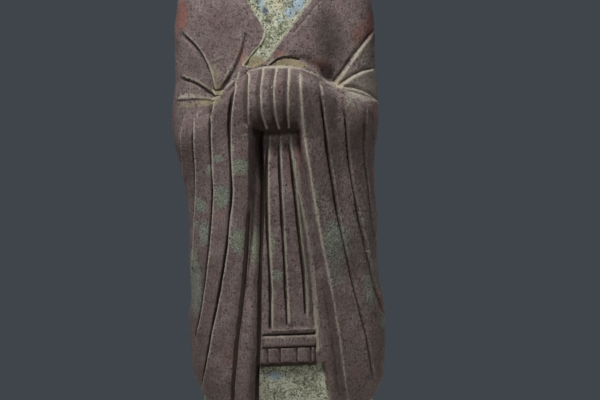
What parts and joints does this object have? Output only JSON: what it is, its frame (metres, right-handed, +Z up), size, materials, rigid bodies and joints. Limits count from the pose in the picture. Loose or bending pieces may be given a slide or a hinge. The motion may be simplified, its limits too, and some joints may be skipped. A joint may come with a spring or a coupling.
{
  "type": "painted pottery zodiac figurine",
  "caption": "Standing painted pottery tomb figure in a long robe, hands hidden in joined sleeves, with a horse's head and a low base.",
  "frame": {"origin": "middle of the flat underside of the base", "axes": "+Z up from the base to the ears, -Y is the way the figure faces, +X is at the right of someone looking at its front"},
  "size_m": [0.1218, 0.0975, 0.4001],
  "materials": {
    "painted_pottery": "matt fired clay with worn purple-brown, cream and red pigment"
  },
  "bodies": {
    "root": {"zodiac_figurine": "painted_pottery"}
  },
  "joints": []
}
